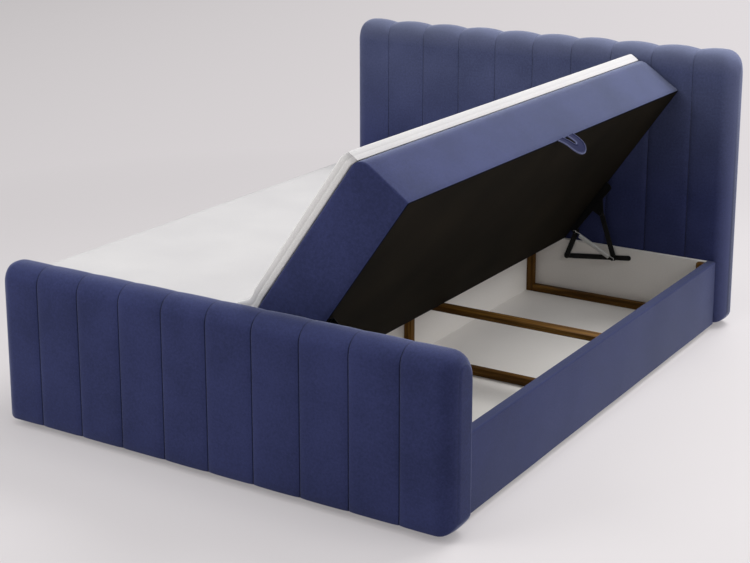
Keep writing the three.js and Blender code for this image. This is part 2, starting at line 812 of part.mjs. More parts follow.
const headboard = { top: headboardTop, notch: headboardNotch, corner: headboardCorner };
const footboard = { top: footboardTop, notch: footboardNotch, corner: footboardCorner };
endBoard('headboard', 1, headboard, boardEdgeRound);
endBoard('footboard', -1, footboard, footboardInnerRound);
storageBox('right', false);
storageBox('left', true);
storageLid('right', false);
storageLid('left', true);
topper();

export default bed;
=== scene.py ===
import math

import bmesh
import bpy
import numpy as np
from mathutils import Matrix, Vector


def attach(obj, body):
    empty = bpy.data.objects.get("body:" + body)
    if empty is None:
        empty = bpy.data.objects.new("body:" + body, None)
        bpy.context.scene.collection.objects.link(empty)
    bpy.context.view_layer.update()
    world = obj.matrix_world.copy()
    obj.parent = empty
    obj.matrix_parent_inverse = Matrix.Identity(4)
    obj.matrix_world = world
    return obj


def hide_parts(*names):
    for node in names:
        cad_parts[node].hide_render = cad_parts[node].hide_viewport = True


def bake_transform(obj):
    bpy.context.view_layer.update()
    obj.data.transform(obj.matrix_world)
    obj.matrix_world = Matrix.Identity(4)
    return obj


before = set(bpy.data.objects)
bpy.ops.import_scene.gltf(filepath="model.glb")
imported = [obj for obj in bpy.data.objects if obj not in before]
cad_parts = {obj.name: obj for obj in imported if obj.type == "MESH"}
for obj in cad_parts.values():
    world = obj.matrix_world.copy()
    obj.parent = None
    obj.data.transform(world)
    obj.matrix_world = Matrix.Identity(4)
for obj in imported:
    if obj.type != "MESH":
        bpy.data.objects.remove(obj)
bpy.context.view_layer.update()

# The view: a camera off the foot's right corner, a metre above the headboard, looking down
# 13 degrees. Its frame is shifted, as the photograph is cropped.
view = bpy.data.cameras.new("camera")
view.lens = 75.8
view.sensor_width = 36
view.shift_y = -0.1614
view.clip_end = 60
camera = bpy.data.objects.new("camera", view)
camera.location = (2.773, -4.597, 2.022)
camera.rotation_euler = (math.radians(76.83), 0, math.radians(32.1))
bpy.context.scene.collection.objects.link(camera)
bpy.context.scene.camera = camera

# The end boards: foam over a board, wrapped in navy velvet. Nine upright seams are sewn through
# to the board and pull the velvet in, and the cover is one piece that goes over the top.
MM = 0.001
board_half_width = 840
board_half_depth = 62.5
board_end_round = 55
footboard_inner_round = 18
board_edge_round = 55
board_lower_round = 8
board_foot_corner = 45
board_flat_share = 0.12
channel = 168
seam_depth = 4.6
seam_spread = 26
thread_depth_share = 0.4
thread_spread = 2.4
channel_crown = 1.2
board_end_x = 838.5
seam_offsets = (0, 1, 2.2, 4, 7, 11, 16, 23, 36, 56)
ground_gap = 18


class Link:
    """A socket of a finish. Python's operators on it add Math nodes, and node() adds any other."""

    def __init__(self, socket):
        self.socket = socket

    def node(self, kind, inputs, output=0, stops=(), **settings):
        tree = self.socket.id_data
        made = tree.nodes.new(kind)
        for key, value in settings.items():
            setattr(made, key, value)
        for number, (place, colour) in enumerate(stops):
            elements = made.color_ramp.elements
            stop = elements[0] if number == 0 else elements.new(place)
            stop.position = place
            stop.color = colour
        if stops:
            made.color_ramp.elements.remove(made.color_ramp.elements[-1])
        for key, value in inputs.items():
            if isinstance(value, Link):
                tree.links.new(value.socket, made.inputs[key])
            else:
                made.inputs[key].default_value = value
        return Link(made.outputs[output])

    def maths(self, operation, *values):
        return self.node("ShaderNodeMath", dict(enumerate(values)), operation=operation)

    def __add__(self, other):
        return self.maths("ADD", self, other)

    __radd__ = __add__

    def __sub__(self, other):
        return self.maths("SUBTRACT", self, other)

    def __rsub__(self, other):
        return self.maths("SUBTRACT", other, self)

    def __mul__(self, other):
        return self.maths("MULTIPLY", self, other)

    __rmul__ = __mul__

    def noise(self, scale, detail=2, roughness=0.5):
        return self.node("ShaderNodeTexNoise", {"Vector": self, "Scale": scale, "Detail": detail,
                                                "Roughness": roughness})

    def colour(self, *stops):
        return self.node("ShaderNodeValToRGB", {"Fac": self}, stops=stops)

    def bump(self, distance, strength=1.0):
        return self.node("ShaderNodeBump", {"Height": self, "Distance": distance, "Strength": strength})

    def part(self, axis):
        """One number of a place: 0 across the bed, 1 along it, 2 upright."""
        return self.node("ShaderNodeSeparateXYZ", {"Vector": self}, output=axis)

    def ramp(self, low, high, first=0.0, last=1.0):
        """Goes from first to last while this value goes from low to high."""
        return self.node("ShaderNodeMapRange", {"Value": self, "From Min": low, "From Max": high,
                                                "To Min": first, "To Max": last})

    def mixed(self, one, other):
        """One colour where this value is 0, the other where it is 1."""
        return self.node("ShaderNodeMix", {0: self, 6: one, 7: other}, output=2, data_type="RGBA")


def srgb(red, green, blue):
    """A colour as it is seen on a screen, from 0 to 255, in the shader's own numbers."""
    parts = [value / 255 for value in (red, green, blue)]
    return [p / 12.92 if p <= 0.04045 else ((p + 0.055) / 1.055) ** 2.4 for p in parts] + [1]


def finish(name, paint, sockets):
    """A finish with fixed sockets, and links for what changes over the surface."""
    material = bpy.data.materials.new(name)
    material.use_nodes = True
    tree = material.node_tree
    shader = tree.nodes["Principled BSDF"]
    for key, value in sockets.items():
        shader.inputs[key].default_value = value
    place = Link(tree.nodes.new("ShaderNodeTexCoord").outputs["Object"])
    for key, link in paint(place).items():
        tree.links.new(link.socket, shader.inputs[key])
    return material


def velvet_shades(place, low, high):
    """The velvet's colour, between two shades, and how its short pile is brushed."""
    broad = place.noise(3.5, 3, 0.6)
    brushed = place.noise(130, 4, 0.7)
    pile = place.noise(850, 2)
    shade = broad * 0.4 + brushed * 0.45 + pile * 0.15
    return {
        "Base Color": shade.colour((0.4, srgb(*low)), (0.6, srgb(*high))),
        "Roughness": brushed * 0.16 + 0.74,
        "Normal": (pile + brushed * 0.6).bump(0.0006, 0.5),
    }


# Painted shade: a darker copy of the board velvet, with less sheen, for the footboard's ends.
def shaded_end_paint(place):
    return velvet_shades(place, (33, 39, 75), (46, 52, 94))


def board_paint(place):
    """On the end boards, painted light: the velvet is painted lighter and more grey high up, with a painted
    highlight along the headboard's top and on its turned ends. Painted shade makes each seam's crease dark."""
    face = velvet_shades(place, (37, 43, 79), (50, 56, 98))
    upper = velvet_shades(place, (57, 63, 92), (72, 78, 111))["Base Color"]
    across, along, height = (place.part(axis) for axis in range(3))
    # Painted light: lighter, more grey velvet high up on the boards.
    painted_light_high_up = height.ramp(0.5, 0.9)
    tone = painted_light_high_up.mixed(face["Base Color"], upper)
    # Painted highlight along the headboard's top.
    tone = height.ramp(0.99, 1.08, last=0.45).mixed(tone, srgb(112, 117, 136))
    # Painted highlight on the headboard's turned ends.
    painted_end_highlight = across.maths("ABSOLUTE", across).ramp(0.785, 0.835, last=0.32)
    painted_end_highlight = painted_end_highlight * along.maths("GREATER_THAN", along, 0)
    tone = painted_end_highlight.mixed(tone, srgb(100, 105, 136))
    # Painted shade: each seam's crease is dark, less so where light is painted high up.
    off_seam = across.maths("PINGPONG", across, channel * MM / 2)
    painted_seam_shade = off_seam.ramp(0.001, 0.0031, first=0.55, last=0.0) * (1 - painted_light_high_up * 0.85)
    face["Base Color"] = painted_seam_shade.mixed(tone, srgb(12, 14, 34))
    return face


velvet_sockets = {
    "Sheen Weight": 1.0, "Sheen Roughness": 0.34, "Sheen Tint": srgb(204, 211, 234),
    "Specular IOR Level": 0.15,
}
board_velvet = finish("board_velvet", board_paint, {**velvet_sockets, "Sheen Weight": 0.65})
shaded_end_velvet = finish("shaded_end_velvet", shaded_end_paint, {**velvet_sockets, "Sheen Weight": 0.25})


def put_in_scene(name, mesh, shape, material, smooth_below):
    """An object from a shape whose faces are turned out, smooth where it bends less than an angle."""
    bmesh.ops.recalc_face_normals(shape, faces=shape.faces)
    shape.to_mesh(mesh)
    shape.free()
    mesh.materials.append(material)
    mesh.shade_smooth()
    mesh.set_sharp_from_angle(angle=math.radians(smooth_below))
    made = bpy.data.objects.new(name, mesh)
    bpy.context.scene.collection.objects.link(made)
    return made


def piece(name, points, faces, material, smooth_below=40):
    """A named piece from points in millimetres."""
    mesh = bpy.data.meshes.new(name)
    mesh.from_pydata((np.asarray(points, float) * MM).tolist(), [], [[int(i) for i in f] for f in faces])
    shape = bmesh.new()
    shape.from_mesh(mesh)
    return put_in_scene(name, mesh, shape, material, smooth_below)


def fitted(made, body, slot, *nodes):
    """Says which body a piece moves with, if it is one, and which CAD nodes it stands for. Its slot, the
    finish, is not used."""
    if body:
        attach(made, body)
    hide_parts(*nodes)


def lofted(rings):
    """A closed skin through rings with the same number of points, capped at both ends."""
    rings = np.asarray(rings, float)
    count, size = rings.shape[:2]
    here = np.arange(size)
    after = np.roll(here, -1)
    faces = []
    for r in range(count - 1):
        low, high = r * size, (r + 1) * size
        faces += np.stack([low + here, low + after, high + after, high + here], 1).tolist()
    faces += [here[::-1].tolist(), ((count - 1) * size + here).tolist()]
    return rings.reshape(-1, 3), faces


def corner_drop(radius, past):
    """How far a round corner draws an edge in, at a place past the corner's start."""
    past = min(max(past, 0), radius)
    return radius - math.sqrt(radius ** 2 - past ** 2)


def board_columns():
    """Places across a board, close together beside each seam and round the two ends."""
    seams = np.arange(-4, 5) * channel
    places = {seam + side * offset for seam in seams for side in (-1, 1) for offset in seam_offsets}
    places |= set(np.arange(-4.5, 5) * channel)
    flat_end = board_half_width - board_end_round
    for angle in np.radians((0, 12, 24, 36, 48, 58, 67, 75, 82, 87, 90)):
        places |= {side * (flat_end + board_end_round * math.sin(angle)) for side in (-1, 1)}
    return [(x, min(channel / 2, np.abs(seams - x).min())) for x in sorted(places)]


def board_cover(middle_y, top, notch, corner, inner_round, face_steps):
    """Sections across the board, from one end to the other. Between two seams a channel bulges,
    and the top dips by the notch at each seam."""
    rings = []
    inner = -math.copysign(1, middle_y)
    turns = np.radians(np.linspace(0, 90, 9))
    bulge = board_flat_share + (1 - board_flat_share) * np.sin(turns)
    turn = 1 - np.cos(turns)
    for x, gap in board_columns():
        reach = abs(x)
        pinch = (1 - thread_depth_share) * max(0, 1 - gap / seam_spread) ** 2
        pinch += thread_depth_share * max(0, 1 - gap / thread_spread) ** 2
        hollow = ((channel / 2 - gap) / (channel / 2)) ** 2
        upper = top - notch * hollow
        upper -= corner_drop(corner, reach - board_half_width + corner)
        lower = ground_gap + corner_drop(board_foot_corner, reach - board_half_width + board_foot_corner)
        face = np.linspace(lower + board_lower_round, upper - board_edge_round, face_steps)[1:-1]
        lower_turn = lower + board_lower_round * turn
        upper_turn = upper - board_edge_round * turn
        heights = np.concatenate([lower_turn, face, upper_turn[::-1]])
        thick = np.concatenate([bulge, np.ones(len(face)), bulge[::-1]])
        soft = 0.5 * np.sin(heights / 83 + x / 190) + 0.4 * np.sin(heights / 47 - x / 61)
        faces = []
        for facing in (-1, 1):
            turned_in = inner_round if facing == inner else board_end_round
            half = board_half_depth - corner_drop(turned_in, reach - board_half_width + turned_in)
            outs = (half - seam_depth * pinch - channel_crown * hollow) * thick
            outs = outs + soft * (outs > board_half_depth * 0.8) * (gap / (channel / 2))
            faces.append(np.stack([np.full(len(outs), x), middle_y + facing * outs, heights], 1))
        rings.append(np.concatenate([faces[0], faces[1][::-1]]))
    return lofted(rings)


end_boards = {
    "headboard": {"middle_y": 1062.5, "top": 1080, "notch": 10, "corner": 70,
                  "inner_round": board_end_round, "face_steps": 30},
    "footboard": {"middle_y": -1062.5, "top": 547, "notch": 1, "corner": 50,
                  "inner_round": footboard_inner_round, "face_steps": 14},
}
for board, form in end_boards.items():
    cover = piece(f"{board}_cover", *board_cover(**form), board_velvet, 55)
    if board == "footboard":
        # The footboard's end faces take the darker copy: painted shade.
        cover.data.materials.append(shaded_end_velvet)
        for end_face in cover.data.polygons:
            end_face.material_index = int(abs(end_face.center.x) > board_end_x * MM)
    fitted(cover, "root", "velvet", f"{board}_inner_pad", f"{board}_outer_pad")


def plywood_paint(place):
    grain = place.node("ShaderNodeTexWave", {"Vector": place, "Scale": 60, "Distortion": 6, "Detail": 3},
                       bands_direction="Z")
    fleck = place.noise(240, 3)
    return {
        "Base Color": (grain * 0.5 + fleck * 0.5).colour((0.3, srgb(112, 90, 60)), (0.7, srgb(150, 124, 86))),
        "Normal": grain.bump(0.0004, 0.4),
    }


def refinish(node, material):
    """Gives a CAD piece that stays in sight its finish."""
    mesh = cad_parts[node].data
    mesh.materials.clear()
    mesh.materials.append(material)


plywood = finish("plywood", plywood_paint, {"Roughness": 0.75})
for board in end_boards:
    refinish(f"{board}_core", plywood)

# The storage boxes: walls, divider and floor of board with a pale laminate, stapled together.
# These solids are right as they stand, and only take their finish here.
sides = {"right": 1, "left": -1}


def lining_paint(place):
    cloud = place.noise(2.2, 3)
    fleck = place.noise(420, 3)
    return {
        "Base Color": (cloud * 0.6 + fleck * 0.4).colour((0.3, srgb(226, 222, 217)),
                                                         (0.7, srgb(238, 234, 230))),
        "Roughness": fleck * 0.2 + 0.45,
        "Normal": fleck.bump(0.0002, 0.35),
    }


lining = finish("lining", lining_paint, {"Specular IOR Level": 0.4})
for side in sides:
    for board in ("side_board", "head_wall", "foot_wall", "divider", "floor"):
        refinish(f"{side}_{board}", lining)

# The side panels' covers: velvet over thin foam, drawn over the rim and stapled inside it.
# The edges are soft, and the cloth waves very slightly along the length.
side_cover_corners = (
    (790.3, 18, 0.8), (800, 18, 3), (800, 269, 6), (766, 269, 2.4),
    (766, 235, 1.2), (771.7, 235, 1), (771.7, 263, 0.8), (790.3, 263, 0.8))
side_cover_half_length = 999.7
side_cover_steps = 60
side_cover_outer_x = 795


def rounded(corners, steps=5):
    """An outline in two directions, with each corner rounded to its own radius."""
    points = []
    places = [np.array(corner[:2], float) for corner in corners]
    for i, (here, corner) in enumerate(zip(places, corners)):
        back = places[i - 1] - here
        on = places[(i + 1) % len(places)] - here
        back, on = back / np.linalg.norm(back), on / np.linalg.norm(on)
        half = math.acos(np.clip(back @ on, -1, 1)) / 2
        length = corner[2] / math.tan(half)
        middle = here + (back + on) / np.linalg.norm(back + on) * corner[2] / math.sin(half)
        start, end = here + back * length - middle, here + on * length - middle
        for share in np.linspace(0, 1, steps):
            way = start * (1 - share) + end * share
            points.append(middle + way / np.linalg.norm(way) * corner[2])
    return np.array(points)


def panel_paint(place):
    """The side panels' velvet is a darker copy with less sheen, as painted shade; on top of the rim it is
    painted lighter and more grey, as painted light.
    """
    shades = velvet_shades(place, (31, 37, 74), (44, 50, 93))
    # Painted light on the top face of the rim.
    rim = place.part(2).ramp(0.2655, 0.2685, last=0.85)
    shades["Base Color"] = rim.mixed(shades["Base Color"], srgb(49, 54, 86))
    return shades


panel_velvet = finish("panel_velvet", panel_paint, {**velvet_sockets, "Sheen Weight": 0.55})
x, z = rounded(side_cover_corners).T
outer = x > side_cover_outer_x
for side, way in sides.items():
    rings = []
    for y in np.linspace(-side_cover_half_length, side_cover_half_length, side_cover_steps):
        wave = 0.35 * np.sin(y / 130 + z / 70) + 0.25 * np.sin(y / 53 - z / 31) - 0.3
        rings.append(np.stack([way * (x + wave * outer), np.full(len(x), y), z], 1))
    cover = piece(f"{side}_side_panel", *lofted(rings), panel_velvet)
    fitted(cover, "root", "velvet", f"{side}_side_cover")

# The pine frames: square posts in the corners, rails on the floor between them, and at half
# length a flat board under the lids. Planed timber with eased edges, stained brown.
timber_ease = 1.6
timber_side = 28
timber_gap = 0.3
inner_x, outer_x = 20.3, 765.7
frame_end_y = 981.7
post_z = (36.3, 266)
top_board_z = (249, 267)
top_board_half_width = 25
bed_ends = {"head": 1, "foot": -1}


def pine_paint_along(axis):
    """Grain that runs along one axis: 0 across the bed, 1 along it, 2 upright."""
    def paint(place):
        stretch = [26, 26, 26]
        stretch[axis] = 1.1
        long_way = place.node("ShaderNodeMapping", {"Vector": place, "Scale": stretch})
        rings = long_way.noise(2.4, 4, 0.6)
        fibre_stretch = [700, 700, 700]
        fibre_stretch[axis] = 12
        fibre = place.node("ShaderNodeMapping", {"Vector": place, "Scale": fibre_stretch}).noise(1, 2)
        shade = rings * 0.75 + fibre * 0.25
        return {
            "Base Color": shade.colour((0.34, srgb(56, 35, 8)), (0.5, srgb(86, 57, 17)),
                                       (0.66, srgb(130, 94, 40))),
            "Roughness": fibre * 0.2 + 0.5,
            "Normal": (fibre + rings).bump(0.0005, 0.4),
        }
    return paint


pine_across, pine_along, pine_upright = (
    finish(f"pine_{name}", pine_paint_along(axis), {"Specular IOR Level": 0.12})
    for axis, name in enumerate(("across", "along", "upright")))


def timber(name, low, high, material):
    """A planed length of timber between two corners, with eased edges."""
    low, high = np.array(low, float), np.array(high, float)
    mesh = bpy.data.meshes.new(name)
    shape = bmesh.new()
    bmesh.ops.create_cube(shape, size=1)
    for vertex in shape.verts:
        vertex.co = ((low + high) / 2 + np.array(vertex.co) * (high - low)) * MM
    bmesh.ops.bevel(shape, geom=shape.edges[:], offset=timber_ease * MM, segments=2, profile=0.5,
                    affect="EDGES")
    return put_in_scene(name, mesh, shape, material, 50)


inner_post_x = (inner_x, inner_x + timber_side)
outer_post_x = (outer_x - timber_side, outer_x)
between_posts_x = (inner_post_x[1] + timber_gap, outer_post_x[0] - timber_gap)
rail_z = (post_z[0], post_z[0] + timber_side)
mid_post_z = (rail_z[1] + timber_gap, top_board_z[0] - timber_gap)
mid_y = (-timber_side / 2, timber_side / 2)
top_board_y = (-top_board_half_width, top_board_half_width)
lengths = []
for end, to in bed_ends.items():
    end_y = (to * (frame_end_y - timber_side), to * frame_end_y)
    lengths += [
        (f"{end}_frame", f"{end}_inner_post", inner_post_x, end_y, post_z, pine_upright),
        (f"{end}_frame", f"{end}_outer_post", outer_post_x, end_y, post_z, pine_upright),
        (f"{end}_frame", f"{end}_floor_rail", between_posts_x, end_y, rail_z, pine_across),
    ]
lengths += [
    ("mid_frame", "mid_post", inner_post_x, mid_y, mid_post_z, pine_upright),
    ("mid_frame", "mid_floor_rail", (inner_x, outer_x), mid_y, rail_z, pine_across),
    ("mid_frame", "mid_top_board", (inner_x, outer_x), top_board_y, top_board_z, pine_across),
]
for side, way in sides.items():
    for node, name, x, y, z, pine in lengths:
        corners = np.array([x, y, z], float).T * (way, 1, 1)
        made = timber(f"{side}_{name}", corners.min(0), corners.max(0), pine)
        fitted(made, "root", "pine", f"{side}_{node}")

# The hinges: at each end of each lid a bar on the wall, two links and a rail under the lid,
# all of flat steel painted satin black, on riveted pins. All four sets are the same, mirrored.
ease = 0.6
outline_steps = 96
short_pivot, long_pivot = (186.99, 203), (392.432, 226)
short_pin, long_pin = (77.6, 245.5), (209.7, 208.6)
bar_y, short_y, long_y, rail_y = (977.7, 981.7), (973.1, 977.1), (968.5, 972.5), (963.9, 967.9)
lid_pole = np.array((88, 423.679))
lid_angle = math.radians(55)
bar_width, link_width = 20, 21
bar_tail_reach = 59
pin_radius = 4
lug_radius = 11
lug_y = (964, 967.8)
rail_rivet = (317, 248)
rail_circles = [(80.2, 257, lug_radius), (*rail_rivet, lug_radius), (69.2, 268.5, 1.2), (328.8, 268.5, 1.2)]
rail_lugs = [[(*short_pin, lug_radius), (short_pin[0], 257, lug_radius)],
             [(*long_pin, lug_radius), (long_pin[0], 257, lug_radius + 4), (262, 252, lug_radius)]]
rail_flange = ((68, 967.4, 266.7), (330, 979.9, 269.7))


def hinge_paint(place):
    orange_peel = place.noise(620, 2)
    worn = place.noise(60, 4)
    return {
        "Base Color": worn.colour((0.4, srgb(5, 5, 6)), (0.7, srgb(11, 11, 12))),
        "Roughness": orange_peel * 0.15 + worn * 0.15 + 0.3,
        "Normal": orange_peel.bump(0.00015, 0.3),
    }


black_steel = finish("black_steel", hinge_paint, {"Specular IOR Level": 0.18, "Coat Weight": 0.03})


def zinc_paint(place):
    brushed = place.noise(500, 3)
    return {
        "Base Color": brushed.colour((0.3, srgb(206, 206, 204)), (0.7, srgb(228, 228, 226))),
        "Roughness": brushed * 0.2 + 0.22,
    }


zinc = finish("zinc", zinc_paint, {"Metallic": 0.65})


def swung(points, angle, pole):
    """Points turned in the X and Z plane round a place in it."""
    points = np.array(points, float)
    x, z = points[:, 0] - pole[0], points[:, 2] - pole[1]
    points[:, 0] = pole[0] + x * math.cos(angle) - z * math.sin(angle)
    points[:, 2] = pole[1] + x * math.sin(angle) + z * math.cos(angle)
    return points


def on_lid(points, side):
    """From the closed right lid's place to where this side's lid rests: right open, left closed."""
    if side == "right":
        return swung(points, lid_angle, lid_pole)
    return np.array(points, float) * (-1, 1, 1)


def plate(circles, y0, y1):
    """A flat plate round a set of circles, as a belt lies round pulleys, with eased edges."""
    rings = []
    angles = np.linspace(0, 2 * math.pi, outline_steps, endpoint=False)
    for y, inset in ((y0, ease), (y0 + ease, 0), (y1 - ease, 0), (y1, ease)):
        ring = []
        for angle in angles:
            out = (math.cos(angle), math.sin(angle))
            x, z, radius = max(circles, key=lambda c: c[0] * out[0] + c[1] * out[1] + c[2])
            reach = max(radius - inset, 0.1)
            ring.append((x + reach * out[0], y, z + reach * out[1]))
        rings.append(ring)
    return lofted(rings)


def stud(centre, *profile, corners=24):
    """A turned pin or rivet along Y: its profile is pairs of a place along Y and a radius."""
    angles = np.linspace(0, 2 * math.pi, corners, endpoint=False)
    return lofted([
        np.stack([centre[0] + radius * np.cos(angles), np.full(corners, y),
                  centre[1] + radius * np.sin(angles)], 1)
        for y, radius in profile])


def spring_pin(centre, root_y):
    """A pin that reaches out to the spring, with a washer near its tip."""
    return stud(centre, (949.8, 3.2), (950.1, pin_radius), (950.6, 6.2), (951.8, 6.2),
                (951.9, pin_radius), (root_y, pin_radius))


def block(low, high):
    """A block between two corners."""
    (x0, y0, z0), (x1, y1, z1) = low, high
    return lofted([[(x0, y0, z), (x1, y0, z), (x1, y1, z), (x0, y1, z)] for z in (z0, z1)])


def gathered(*shapes):
    """Several shapes as one list of points and one of faces."""
    points, faces, count = [], [], 0
    for these, those in shapes:
        points.append(np.asarray(these, float))
        faces += [[i + count for i in face] for face in those]
        count += len(these)
    return np.concatenate(points), faces


def bar_between(one, other, width):
    """The circles round a bar's two pivots."""
    return [(*one, width / 2), (*other, width / 2)]


bar_run = np.subtract(long_pivot, short_pivot)
bar_tail = np.array(long_pivot) + bar_tail_reach * bar_run / np.linalg.norm(bar_run)
base_bar_shape = gathered(
    plate(bar_between(short_pivot, bar_tail, bar_width), *bar_y),
    stud(short_pivot, (970.9, 2), (971.1, 4.2), (972, 6), (973, 6.6),
         (973.05, pin_radius), (977.9, pin_radius)),
    spring_pin(long_pivot, 977.9),
    stud(bar_tail, (977.1, 2.5), (977.2, 4.4), (977.75, 5), (977.8, 5)),
)
rail_shape = gathered(
    plate(rail_circles, *rail_y),
    *(plate(lug_circles, *lug_y) for lug_circles in rail_lugs),
    block(*rail_flange),
    spring_pin(short_pin, 977.1),
    stud(long_pin, (960.9, 2.5), (961.1, 4.6), (962, 6.4), (963.2, 7), (964.2, 7)),
    stud(rail_rivet, (962.9, 3), (963.1, 4.6), (963.9, 5), (964.2, 5)),
)
for side, way in sides.items():
    closed_pins = np.array([(short_pin[0], 0, short_pin[1]), (long_pin[0], 0, long_pin[1])])
    short_top, long_top = on_lid(closed_pins, side)[:, (0, 2)]
    short_base, long_base = (short_pivot[0] * way, short_pivot[1]), (long_pivot[0] * way, long_pivot[1])
    short_shape = plate(bar_between(short_base, short_top, link_width), *short_y)
    long_shape = plate(bar_between(long_base, long_top, link_width), *long_y)
    for end, to in bed_ends.items():
        flip = np.array((1, to, 1))
        rows = (
            ("base_bar", base_bar_shape[0] * (way, to, 1), base_bar_shape[1], "root"),
            ("short_link", short_shape[0] * flip, short_shape[1], f"{side}_short_links"),
            ("long_link", long_shape[0] * flip, long_shape[1], f"{side}_long_links"),
            ("lid_rail", on_lid(rail_shape[0] * flip, side), rail_shape[1], f"{side}_lid"),
        )
        for name, points, faces, body in rows:
            made = piece(f"{side}_{end}_{name}_steel", points, faces, black_steel, 35)
            fitted(made, body, "hinge", f"{side}_{end}_{name}")

# The tension springs: close coils of zinc-plated wire, each with an eye round the base bar's pin
# and a hook round the lid's. A coil opens up as its lid closes.
wire = 3
coil_radius = 7.5
eye_radius = 6.1
eye_turn = (50, 325)
spring_neck, spring_hook = 10, 20
hook_gap = 0.3
coil_turns = 38
turn_steps = 12
spring_y = 954.3


def tube(points, radius, corners=8):
    """A round wire along a run of points."""
    points = np.asarray(points, float)
    rings = []
    angles = np.linspace(0, 2 * math.pi, corners, endpoint=False)[:, None]
    side_way = np.array((0.0, 1.0, 0.0))
    for i, point in enumerate(points):
        along_way = points[min(i + 1, len(points) - 1)] - points[max(i - 1, 0)]
        along_way /= np.linalg.norm(along_way)
        side_way = side_way - along_way * (side_way @ along_way)
        side_way /= np.linalg.norm(side_way)
        other_way = np.cross(along_way, side_way)
        rings.append(point + radius * (np.cos(angles) * side_way + np.sin(angles) * other_way))
    return lofted(rings)


def spring_runs(base, top):
    """The spring's lower eye and coil, and its top hook, as runs of points; and the coil's ends."""
    base, top = np.array(base), np.array(top)
    length = np.linalg.norm(top - base)
    run = (top - base) / length

    def place(far, above, aside):
        return (base[0] + run[0] * far - run[1] * above, spring_y + aside,
                base[1] + run[1] * far + run[0] * above)

    eye_angles = np.radians(np.linspace(*eye_turn, 19))
    eye = [(eye_radius * math.cos(angle), eye_radius * math.sin(angle)) for angle in eye_angles]
    start, end = eye_radius + spring_neck, length - eye_radius - spring_hook
    coil = [place(far, above, 0) for far, above in eye]
    for i in range(coil_turns * turn_steps + 1):
        angle = 2 * math.pi * i / turn_steps
        far = start + (end - start) * i / (coil_turns * turn_steps)
        coil.append(place(far, -coil_radius * math.cos(angle), coil_radius * math.sin(angle)))
    coil.append(place(end + wire, -coil_radius, 0))
    hook = [place(end + wire + hook_gap, -coil_radius, 0), place(end + 2 * wire, -coil_radius, 0)]
    hook += [place(length - far, above, 0) for far, above in eye[::-1]]
    return coil, hook, place(start, 0, 0), place(end, 0, 0)


for side, way in sides.items():
    short_top = on_lid([(short_pin[0], 0, short_pin[1])], side)[0][[0, 2]]
    coil, hook, coil_start, coil_end = spring_runs((long_pivot[0] * way, long_pivot[1]), short_top)
    for end, to in bed_ends.items():
        flip = np.array((1, to, 1))
        points, faces = tube(coil, wire / 2)
        spring = piece(f"{side}_{end}_coil", points * flip, faces, zinc, 60)
        fitted(spring, None, "spring", f"{side}_{end}_spring")
        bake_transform(spring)
        points, faces = tube(hook, wire / 2)
        top_hook = piece(f"{side}_{end}_coil_hook", points * flip, faces, zinc, 60)
        fitted(top_hook, f"{side}_spring_hooks", "spring", f"{side}_{end}_spring_top_hook")

# The lids: foam and springs on a timber frame, boxed in velvet with a soft upper edge and a
# crisp seam at the lower one. The right lid stands open, the left one is closed.
lid_x = (8, 800)
lid_middle_x = sum(lid_x) / 2
lid_half_length = 995
lid_bottom, lid_top = 270, 473
lid_top_round = 45
lid_corner, lid_end_round = 7, 9
lid_bulge = 2.2
lid_long_steps, lid_end_steps = 26, 11
lid_lower_edge = [(8, 272.05), (6, 272.05), (6, 270.6), (5, 270), (1.6, 269.9), (0.3, 270.6), (0, 272),
                  (0.7, 273.4), (0, 275)]
lid_side_start = 290
lid_lip_top = 272.1


def lid_outline(inset, z, end_inset=None):
    """A rounded rectangle round the lid, drawn in by the insets, with the sides swelling a little."""
    end_inset = inset if end_inset is None else end_inset
    radius = max(lid_corner - end_inset, 3)
    x0, x1, y1 = lid_x[0] + inset, lid_x[1] - inset, lid_half_length - end_inset
    ring = []
    quarters = ((x1, y1, 0), (x0, y1, 1), (x0, -y1, 2), (x1, -y1, 3))
    for x, y, quarter in quarters:
        centre = np.array((x - math.copysign(radius, x - lid_middle_x), y - math.copysign(radius, y)))
        for share in np.linspace(0, 1, 6):
            angle = (quarter + share) * math.pi / 2
            ring.append(centre + radius * np.array((math.cos(angle), math.sin(angle))))
        next_x, next_y, _ = quarters[(quarter + 1) % 4]
        next_centre = np.array((next_x - math.copysign(radius, next_x - lid_middle_x),
                                next_y - math.copysign(radius, next_y)))
        turn = (quarter + 1) * math.pi / 2
        edge = radius * np.array((math.cos(turn), math.sin(turn)))
        steps = lid_long_steps if quarter % 2 else lid_end_steps
        for share in np.linspace(0, 1, steps)[1:-1]:
            ring.append(centre * (1 - share) + next_centre * share + edge)
    ring = np.array(ring)
    half = np.array(((x1 - x0) / 2, y1))
    from_side, from_end = np.clip(1 - np.abs((ring - (lid_middle_x, 0)) / half), 0, 1).T
    height = (z - lid_bottom) / (lid_top - lid_bottom)
    swell = lid_bulge * math.sin(math.pi * min(max(height, 0), 1)) ** 0.7 if inset < 40 else 0
    out = swell * np.sign(ring - (lid_middle_x, 0))
    ring[:, 0] += out[:, 0] * (from_side < 0.02) * np.minimum(1, from_end * 6)
    ring[:, 1] += out[:, 1] * (from_end < 0.01) * np.minimum(1, from_side * 4)
    return np.column_stack([ring, np.full(len(ring), z)])


